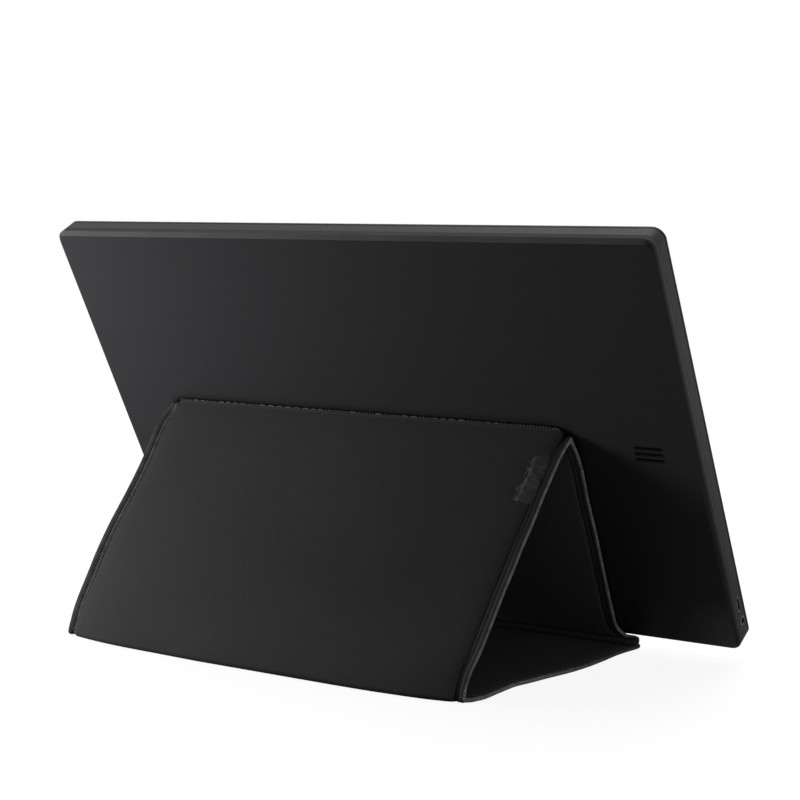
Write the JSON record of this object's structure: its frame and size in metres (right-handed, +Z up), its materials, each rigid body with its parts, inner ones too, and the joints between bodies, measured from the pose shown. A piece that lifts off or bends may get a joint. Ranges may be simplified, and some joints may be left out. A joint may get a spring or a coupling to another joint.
{
  "type": "portable monitor with cover",
  "caption": "Slim portable display standing on its own fabric cover, which is folded behind it into a three-sided stand with a lip that carries the lower edge.",
  "frame": {"origin": "middle of the base panel's length on its underside, on the monitor's centre plane", "axes": "+X along the screen width, to the right for someone facing the screen; the screen faces -Y and leans back; +Y towards the heel of the stand behind; +Z up"},
  "size_m": [0.382, 0.1876, 0.2305],
  "materials": {
    "back_shell": "satin, fine brushed hairlines across the back",
    "bezel_shell": "satin moulded",
    "foam": "matt foam",
    "display_glass": "anti-glare, dark when off",
    "diffuser": "matt translucent white",
    "acrylic": "clear acrylic with a dot pattern",
    "reflector": "matt white",
    "led_strip": "white strip with yellow emitters",
    "tray_metal": "rolled sheet",
    "circuit_board": "green solder mask",
    "chip_resin": "matt moulded resin",
    "tinned_steel": "tinned sheet",
    "screw_steel": "zinc plated",
    "ribbon": "amber film",
    "socket_steel": "nickel plated shell",
    "socket_plastic": "moulded",
    "button_plastic": "semi-gloss",
    "clear_plastic": "clear, frosted end",
    "keeper_steel": "cold rolled",
    "foot_rubber": "matt",
    "cover_fabric": "fine tight weave",
    "stiff_board": "matt fibre sheet",
    "cover_lining": "short soft nap",
    "cover_binding": "ribbed woven tape with a stitch line",
    "magnet": "nickel plated",
    "label_satin": "woven satin, blank"
  },
  "bodies": {
    "monitor": {"back_cover": "back_shell", "front_bezel": "bezel_shell", "bezel_gasket": "foam", "lcd_cell": "display_glass", "diffuser_sheet": "diffuser", "light_guide": "acrylic", "reflector_sheet": "reflector", "led_bar": "led_strip", "panel_chassis": "tray_metal", "driver_board": "circuit_board", "main_board": "circuit_board", "main_chip": "chip_resin", "shield_can": "tinned_steel", "board_screws": "screw_steel", "chassis_screws": "screw_steel", "display_cable": "ribbon", "usb_port": "socket_steel", "audio_jack": "socket_plastic", "button_board": "circuit_board", "tact_switches": "socket_plastic", "light_pipe": "clear_plastic", "steel_plates": "keeper_steel", "rubber_feet": "foot_rubber"},
    "leg_panel": {"leg_fabric": "cover_fabric", "leg_board": "stiff_board", "leg_lining": "cover_lining", "leg_binding": "cover_binding", "leg_magnets": "magnet", "lip": "cover_fabric", "lip_magnets": "magnet", "ridge_fold": "cover_fabric"},
    "rear_panel": {"rear_fabric": "cover_fabric", "rear_board": "stiff_board", "rear_lining": "cover_lining", "rear_binding": "cover_binding", "heel_fold": "cover_fabric", "label_patch": "label_satin"},
    "base_panel": {"base_fabric": "cover_fabric", "base_board": "stiff_board", "base_lining": "cover_lining", "base_binding": "cover_binding", "base_magnets": "magnet"},
    "power_button": {"power_button": "button_plastic"},
    "up_button": {"up_button": "button_plastic"},
    "down_button": {"down_button": "button_plastic"}
  },
  "joints": [
    {"name": "cover_pull", "type": "slide", "parent": "monitor", "child": "leg_panel", "axis": [0, 0.8695, -0.4939], "range_m": [0, 0.06]},
    {"name": "ridge_hinge", "type": "hinge", "parent": "leg_panel", "child": "rear_panel", "pos_m": [0.0122, -0.01459, 0.12497], "axis": [1, 0, 0], "range_deg": [0, 104]},
    {"name": "heel_hinge", "type": "hinge", "parent": "rear_panel", "child": "base_panel", "pos_m": [0.0122, 0.09, 0.00125], "axis": [1, 0, 0], "range_deg": [0, 130]},
    {"name": "power_button_press", "type": "slide", "parent": "monitor", "child": "power_button", "axis": [0, 0.8695, -0.4939], "range_m": [0, 0.0005], "stiffness_N_per_m": 1500, "springref_m": -0.0004},
    {"name": "up_button_press", "type": "slide", "parent": "monitor", "child": "up_button", "axis": [0, 0.8695, -0.4939], "range_m": [0, 0.0005], "stiffness_N_per_m": 1500, "springref_m": -0.0004},
    {"name": "down_button_press", "type": "slide", "parent": "monitor", "child": "down_button", "axis": [0, 0.8695, -0.4939], "range_m": [0, 0.0005], "stiffness_N_per_m": 1500, "springref_m": -0.0004}
  ]
}
